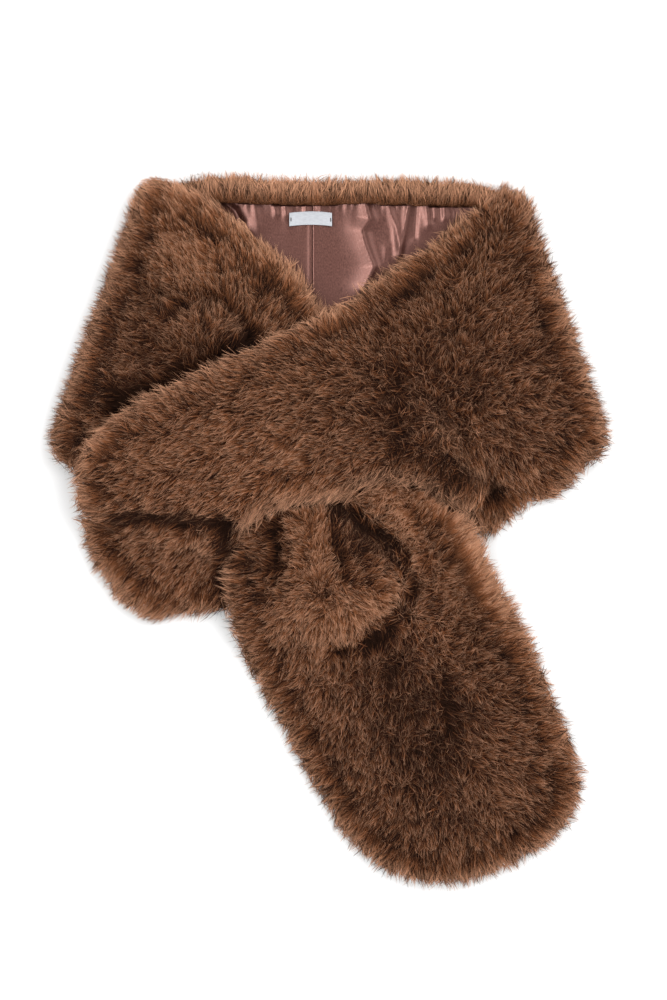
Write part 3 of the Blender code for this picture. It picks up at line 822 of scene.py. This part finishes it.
# The tail is the end of the strip, drawn up through the slit. It bulges over the right front's
# lower edge, creased where it is squeezed, and comes down to the table.
TAIL_COMBS = [
    Comb(-100, -20, 172, 0.5),
    Comb(-98, -65, 185, 0.5),
    Comb(-70, 15, 160, 0.5),
    Comb(-62, -45, 185, 0.3),
    Comb(-54, -15, 180, 0.1),
    Comb(-36, 10, 155, 1.2),
    Comb(-34, -25, 160, 1.15),
    Comb(-10, 10, 60, 1.2),
    Comb(-6, -22, 50, 1.0),
    Comb(-13, -57, 90, 0.3),
    Comb(-34, -60, 185, 0.8),
    Comb(-25, -85, 230, 0.8),
    Comb(-13, -100, 265, 0.9),
    Comb(12, -95, 285, 1.0),
    Comb(40, -85, 315, 1.0),
    Comb(58, -62, 345, 0.9),
    Comb(20, -50, 20, 0.7),
    Comb(55, -35, 30, 0.4),
    Comb(25, -12, 60, 0.2),
    Comb(48, 38, 225, 0.95),
    Comb(40, 58, 130, 0.9),
    Comb(65, 60, 95, 0.9),
    Comb(68, 8, 222, 0.95),
    Comb(82, -30, 205, 0.85),
    Comb(86, -62, 195, 0.6),
    Comb(102, 16, 48, 0.75),
    Comb(106, -18, 40, 0.7),
    Comb(122, -48, 34, 0.7),
    Comb(85, 42, 60, 0.75),
    Comb(112, 22, 45, 0.75),
    Comb(135, -5, 35, 0.75),
    Comb(155, -35, 28, 0.75),
    Comb(110, -85, 200, 0.5),
    Comb(130, -95, 30, 0.4),
    Comb(180, -85, 20, 0.8),
    Comb(205, -125, 15, 0.7),
    Comb(235, -200, 5, 0.6),
    Comb(250, -250, -10, 0.6),
    Comb(235, -300, -35, 0.6),
    Comb(185, -330, -60, 0.55),
    Comb(130, -345, -80, 0.5),
    Comb(80, -340, -100, 0.5),
    Comb(35, -320, -125, 0.5),
    Comb(0, -280, -135, 0.5),
    Comb(-35, -230, -150, 0.55),
    Comb(-65, -170, -155, 0.6),
    Comb(-90, -120, -160, 0.55),
    Comb(-50, -130, -110, 0.65),
    Comb(-20, -190, -115, 0.55),
    Comb(60, -140, -90, 0.15),
    Comb(60, -190, -90, 0.2),
    Comb(100, -240, -80, 0.2),
    Comb(130, -180, -50, 0.2),
    Comb(120, -290, -85, 0.3),
    Comb(190, -200, 0, 0.5),
    Comb(200, -260, -25, 0.5),
    Comb(150, -130, 20, 0.35),
    Comb(30, -150, -95, 0.3),
    Comb(20, -240, -100, 0.35),
]
# The dark column is painted shade in the valley under the curl's overhang and beside its lobes;
# below zero it is painted highlight on the lobes, the tongue and the right rim.
TAIL_PARTINGS_AND_SHADES = [
    PartingAndShade(6, 38, 80, -70, 8, 15, -4, 0),
    PartingAndShade(-4, 37, 54, -7, -1, 7, 9, 0.95),
    PartingAndShade(54, -7, 79, -61, 7, 6, 8, 0.75),
    PartingAndShade(81, -61, 38, -121, 8, 8, 8, 0.75),
    PartingAndShade(38, -121, 3, -126, 2, 7, 5, 0.45),
    PartingAndShade(8, 20, 40, -20, 0, 12, 1, 0.45),
    PartingAndShade(-57, 18, -57, -42, -3, 7, 5, 0.6),
    PartingAndShade(0, 30, 18, -44, -2, 6, 5, 0.6),
    PartingAndShade(-95, 12, -15, 30, 0, 7, -4, 0),
    PartingAndShade(25, 44, 100, 62, 0, 8, -4, 0),
    PartingAndShade(92, 50, 158, -75, 8, 16, 0, -0.8),
    PartingAndShade(78, 22, 100, -80, 5, 6, 2, 0.25),
    PartingAndShade(-8, 22, -12, -50, -5, 9, -2, -0.42),
    PartingAndShade(-5, -84, 50, -78, -4, 18, 0, -0.3),
    PartingAndShade(47, 42, 88, -8, 0, 10, -2, -0.3),
    PartingAndShade(60, -115, 105, -235, 0, 34, 0, 0.22),
    PartingAndShade(116, -148, 124, -205, 0, 12, 3, 0.35),
]
fur_piece(
    "tail",
    "tail",
    joins=["left_front"],
    pile=dict(
        covers=["right_front"],
        combs=TAIL_COMBS,
        partings_and_shades=TAIL_PARTINGS_AND_SHADES,
        count=145000,
        meshes=2,
        seed=4,
    ),
)

# The lining is mauve brown satin, cut in two halves and seamed at the centre back. It is gathered
# a little into the neck seam, so it puckers there and lies in soft folds below. Each fold falls
# away slowly on its left and steeply on its right, and one below zero is pressed in.
SATIN = 0.8
SATIN_LIES_AT = 12.45
Fold = namedtuple("Fold", "path left right height")
SATIN_FOLDS = [
    Fold([(-113, 328), (-104, 313)], 5, 3, 3.2),
    Fold([(-108, 330), (-97, 322), (-91, 309)], 3.6, 3.6, -7.0),
    Fold([(-74, 318), (-73, 305)], 9, 6, 1.0),
    Fold([(-58, 330), (-55, 317)], 3, 2.2, 1.6),
    Fold([(-47, 330), (-45, 316)], 3, 2.2, 1.6),
    Fold([(-25, 329), (-24.5, 320)], 2.4, 2, 1.1),
    Fold([(-20.8, 322), (-20.6, 222)], 1.8, 1.6, 0.55),
    Fold([(-10, 329), (-9.5, 320)], 2.4, 2, 1.1),
    Fold([(35, 328), (40, 313), (32, 301), (36, 286), (44, 265), (35, 245)], 13, 4, 4.0),
    Fold([(56, 284), (54, 262)], 8, 5, 1.5),
    Fold([(58, 327), (66, 304), (69, 285)], 4.5, 3.2, 2.0),
    Fold([(79, 328), (74, 300), (69, 276)], 6, 3, 3.4),
    Fold([(86, 328), (84, 294)], 3, 2.2, -1.8),
    Fold([(97, 328), (99, 307)], 4, 2.4, 2.2),
    Fold([(101.5, 327), (102, 312)], 2.4, 2, -1.3),
    Fold([(104, 328), (105, 314)], 3, 2.2, 1.5),
    Fold([(110, 327), (110, 314)], 2.4, 2, -1.2),
    Fold([(114, 327), (115, 314)], 3, 2.2, 1.4),
    Fold([(123, 326), (127, 315)], 3, 2.2, 1.3),
]
NECK_Y = 331.0
GATHER_X = (-130, 140)
GATHER_EVERY = 6.5
GATHER_HEIGHT, GATHER_HEIGHTS = 0.9, (0.4, 1.3)
GATHER_WIDTHS, GATHER_OPENS = (1.3, 2.2), 0.08
GATHER_DIES = 13.0
FINE_X, FINE_Y = (-128, 138), (196, 400)  # the part that shows, with some to spare
FINE_CELL, COARSE_CELL = 1.8, 8.0
SATIN_MARGIN = 0.01
ABOVE_LINING = 90.0


def folds_height(x, y):
    """Ridges that fall away slowly to one side and steeply to the other."""
    at = np.stack([x.ravel(), y.ravel()], 1)
    height = np.zeros(len(at))
    for fold in SATIN_FOLDS:
        path = np.array(fold.path, float)
        start, run = path[:-1], path[1:] - path[:-1]
        part = ((at[:, None] - start) * run).sum(-1) / (run**2).sum(-1)
        away = at[:, None] - start - np.clip(part, 0, 1)[..., None] * run
        gap = np.linalg.norm(away, axis=-1)
        nearest = gap.argmin(1)
        rows = np.arange(len(at))
        gap, away, run = gap[rows, nearest], away[rows, nearest], run[nearest]
        right = run[:, 0] * away[:, 1] - run[:, 1] * away[:, 0] > 0
        height += fold.height * np.exp(-((gap / np.where(right, fold.right, fold.left)) ** 1.25))
    return height.reshape(x.shape)


def gathers(x, y, rng):
    """Small tucks where the satin is drawn into the neck seam."""
    height = np.zeros(x.shape)
    for middle in np.arange(*GATHER_X, GATHER_EVERY):
        at = middle + rng.normal(0, 1.6)
        slant = rng.normal(0, 0.1)
        width = rng.uniform(*GATHER_WIDTHS)
        tall = GATHER_HEIGHT * rng.uniform(*GATHER_HEIGHTS)
        down = np.maximum(NECK_Y - y, 0)
        fade = np.exp(-((down / (GATHER_DIES * rng.uniform(0.5, 1.5))) ** 1.3))
        off = (x - at - slant * down) / (width + down * GATHER_OPENS)
        height += tall * fade * np.exp(-(off**2))
    return height


def steps(low, high, fine_low, fine_high):
    """Grid lines from low to high, close together in the part that shows."""
    lines = [low]
    while lines[-1] < high - 0.01:
        fine = fine_low < lines[-1] < fine_high
        lines.append(min(lines[-1] + (FINE_CELL if fine else COARSE_CELL), high))
    return np.array(lines)


def grid_shell(name, x, y, lower, upper, kept):
    """A closed sheet over the cells of a grid whose corners are all kept."""
    bm = bmesh.new()
    layers = []
    for height in (lower, upper):
        layers.append({(i, j): bm.verts.new((x[i, j], y[i, j], height[i, j]))
                       for i, j in zip(*np.nonzero(kept))})
    cells = set()
    for i, j in layers[0]:
        if all(c in layers[0] for c in ((i + 1, j), (i + 1, j + 1), (i, j + 1))):
            cells.add((i, j))
    for i, j in cells:
        ring = [(i, j), (i + 1, j), (i + 1, j + 1), (i, j + 1)]
        bm.faces.new([layers[1][c] for c in ring])
        bm.faces.new([layers[0][c] for c in reversed(ring)])
        for k, beside in enumerate([(i, j - 1), (i + 1, j), (i, j + 1), (i - 1, j)]):
            if beside not in cells:
                a, b = ring[k], ring[(k + 1) % 4]
                bm.faces.new([layers[0][a], layers[0][b], layers[1][b], layers[1][a]])
    loose = [vert for vert in bm.verts if not vert.link_faces]
    bmesh.ops.delete(bm, geom=loose, context="VERTS")
    bmesh.ops.scale(bm, vec=(MM,) * 3, verts=bm.verts[:])
    mesh = bpy.data.meshes.new(name)
    bm.to_mesh(mesh)
    bm.free()
    mesh.shade_smooth()
    obj = bpy.data.objects.new(name, mesh)
    bpy.context.scene.collection.objects.link(obj)
    return obj


def satin_half(name, node, seed):
    """Half of the lining, over the part of the table that its solid covers."""
    low, high = (np.array(corner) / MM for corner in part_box(node))
    lines_x = steps(low[0] + SATIN_MARGIN, high[0] - SATIN_MARGIN, *FINE_X)
    lines_y = steps(low[1] + SATIN_MARGIN, high[1] - SATIN_MARGIN, *FINE_Y)
    x, y = np.meshgrid(lines_x, lines_y, indexing="ij")
    above = np.stack([x.ravel(), y.ravel(), np.full(x.size, ABOVE_LINING)], 1)
    down = np.tile([0.0, 0.0, -1.0], (x.size, 1))
    kept = cast(trees[node], above, down, ABOVE_LINING).reshape(x.shape) < ABOVE_LINING - 1
    lower = SATIN_LIES_AT + folds_height(x, y)
    lower += gathers(x, y, np.random.default_rng(seed))
    return grid_shell(name, x, y, lower, lower + SATIN, kept)


def satin_material():
    material, shader, threads = woven(
        "mauve brown satin",
        across=900,
        along=500,
        relief=0.12,
        low=(0.053, 0.0175, 0.0128),
        high=(0.098, 0.035, 0.0265),
    )
    shader.inputs["Specular IOR Level"].default_value = 0.65
    shader.inputs["Specular Tint"].default_value = (1.0, 0.66, 0.58, 1)
    shader.inputs["Metallic"].default_value = 0.35
    gloss = material.node_tree.nodes.new("ShaderNodeMapRange")
    gloss.inputs["To Min"].default_value = 0.28
    gloss.inputs["To Max"].default_value = 0.42
    material.node_tree.links.new(threads.outputs["Mask"], gloss.inputs["Value"])
    material.node_tree.links.new(gloss.outputs["Result"], shader.inputs["Roughness"])
    return material


satin = satin_material()
for node, width, seed in (("lining_left", 0.24, 21), ("lining_right", 0.28, 22)):
    half = satin_half(node + "_satin", node, seed)
    half.data.materials.append(satin)
    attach(half, "root")
    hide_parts(node)

# The label is a plain white woven tape that lies over the centre back seam. A short stitch of
# dark thread at each end tacks it to the satin, and between them it curves up a little.
TAPE = 0.5
TAPE_CELL = 0.8
TAPE_MARGIN = 0.02
TAPE_UP = 1.8  # towards the neck seam
TAPE_CURVE = 1.6
UNDER_LABEL, LABEL_REACH = 5.0, 30.0
TACK_LENGTH, TACK_THICK = 4.4, 1.1
TACKS = [(-40.2, 312.2), (-0.3, 311.8)]


def tape_grid(name):
    """The tape, laid on the underside of the label's solid."""
    low, high = (np.array(corner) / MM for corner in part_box("label"))
    count_x, count_y = (round((high[axis] - low[axis]) / TAPE_CELL) for axis in (0, 1))
    lines_x = np.linspace(low[0] + TAPE_MARGIN, high[0] - TAPE_MARGIN, count_x)
    lines_y = np.linspace(low[1], high[1], count_y)
    x, _ = np.meshgrid(lines_x, lines_y, indexing="ij")
    across = (x - (low[0] + high[0]) / 2) / ((high[0] - low[0]) / 2)
    share = np.linspace(0, 1, len(lines_y))[None, :]
    y = low[1] + TAPE_CURVE * (1 - across**2) + share * (high[1] - low[1] - TAPE_CURVE)
    start = np.stack([x.ravel(), y.ravel(), np.full(x.size, UNDER_LABEL)], 1)
    up = np.tile([0.0, 0.0, 1.0], (x.size, 1))
    reach = cast(trees["label"], start, up, LABEL_REACH).reshape(x.shape)
    lower = UNDER_LABEL + np.where(reach < LABEL_REACH - 1, reach, np.median(reach))
    return grid_shell(name, x, y + TAPE_UP, lower, lower + TAPE, np.ones(x.shape, bool))


def tape_material():
    material, shader, _ = woven(
        "white woven tape",
        across=250,
        along=2400,
        relief=0.3,
        low=(0.42, 0.43, 0.46),
        high=(0.54, 0.552, 0.578),
    )
    shader.inputs["Roughness"].default_value = 0.7
    shader.inputs["Specular IOR Level"].default_value = 0.3
    return material


def tacks():
    """Short stitches of dark thread, as one mesh of small rounded bars."""
    sky, proud = 60, 0.05
    bm = bmesh.new()
    for x, y in TACKS:
        bar = bmesh.ops.create_icosphere(bm, subdivisions=2, radius=0.5)["verts"]
        hit = trees["label"].ray_cast(Vector((x, y, sky)), Vector((0, 0, -1)), sky)[0]
        bmesh.ops.scale(bm, vec=(TACK_THICK, TACK_LENGTH, TACK_THICK), verts=bar)
        bmesh.ops.translate(bm, vec=(x, y, hit.z + proud), verts=bar)
    bmesh.ops.scale(bm, vec=(MM,) * 3, verts=bm.verts[:])
    mesh = bpy.data.meshes.new("label_tacks")
    bm.to_mesh(mesh)
    bm.free()
    mesh.shade_smooth()
    obj = bpy.data.objects.new("label_tacks", mesh)
    bpy.context.scene.collection.objects.link(obj)
    return obj


def thread_material():
    material, shader, _ = woven(
        "dark brown thread",
        across=2600,
        along=900,
        relief=0.5,
        low=(0.008, 0.005, 0.004),
        high=(0.04, 0.024, 0.02),
    )
    shader.inputs["Roughness"].default_value = 0.5
    return material


label = tape_grid("label_tape")
label.data.materials.append(tape_material())
stitches = tacks()
stitches.data.materials.append(thread_material())
for piece in (label, stitches):
    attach(piece, "root")
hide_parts("label")

# The floor is plain and pale. The light is soft and comes from the upper right, a second soft
# light on the left shows only as the sheen of the satin, and the camera looks straight down.
FLOOR_HALF = 30.0
FLOOR_DROP = 0.0006
CAMERA_HEIGHT = 2.53
CAMERA_LENS = 90.0
CAMERA_X, CAMERA_Y = 0.0025, 0.030


def floor_material():
    material = bpy.data.materials.new("pale floor")
    material.use_nodes = True
    shader = material.node_tree.nodes["Principled BSDF"]
    shader.inputs["Base Color"].default_value = (0.94, 0.94, 0.94, 1)
    shader.inputs["Roughness"].default_value = 0.95
    shader.inputs["Specular IOR Level"].default_value = 0.1
    return material


bpy.ops.mesh.primitive_plane_add(size=2 * FLOOR_HALF, location=(0, 0, -FLOOR_DROP))
floor = bpy.context.object
floor.name = "floor"
floor.data.materials.append(floor_material())

world = bpy.data.worlds.new("studio")
bpy.context.scene.world = world
world.use_nodes = True
sky = world.node_tree.nodes
direction = sky.new("ShaderNodeTexCoord")
height = sky.new("ShaderNodeSeparateXYZ")
glow = sky.new("ShaderNodeValToRGB")
world.node_tree.links.new(direction.outputs["Generated"], height.inputs["Vector"])
world.node_tree.links.new(height.outputs["Z"], glow.inputs["Fac"])
world.node_tree.links.new(glow.outputs["Color"], sky["Background"].inputs["Color"])
glow.color_ramp.elements[0].position = 0.9
glow.color_ramp.elements[0].color = (1.0, 1.0, 1.0, 1)
glow.color_ramp.elements[1].position = 0.985
glow.color_ramp.elements[1].color = (0.3, 0.3, 0.3, 1)
sky["Background"].inputs["Strength"].default_value = 1.34


def softbox(name, place, size, power):
    light = bpy.data.lights.new(name, "AREA")
    light.shape = "SQUARE"
    light.size = size
    light.energy = power
    obj = bpy.data.objects.new(name, light)
    bpy.context.scene.collection.objects.link(obj)
    obj.location = place
    obj.rotation_euler = (-Vector(place)).to_track_quat("-Z", "Y").to_euler()
    return obj


softbox("key", place=(1.1, 1.2, 2.2), size=1.6, power=28)
sheen = softbox("sheen", place=(-0.95, 0.55, 2.0), size=0.6, power=35)
sheen.visible_diffuse = False

camera_data = bpy.data.cameras.new("camera")
camera_data.lens = CAMERA_LENS
camera_data.sensor_width = 36
camera_data.clip_end = 50
camera = bpy.data.objects.new("camera", camera_data)
camera.location = (CAMERA_X, CAMERA_Y, CAMERA_HEIGHT)
bpy.context.scene.collection.objects.link(camera)
bpy.context.scene.camera = camera
bpy.context.scene.view_settings.view_transform = "Standard"
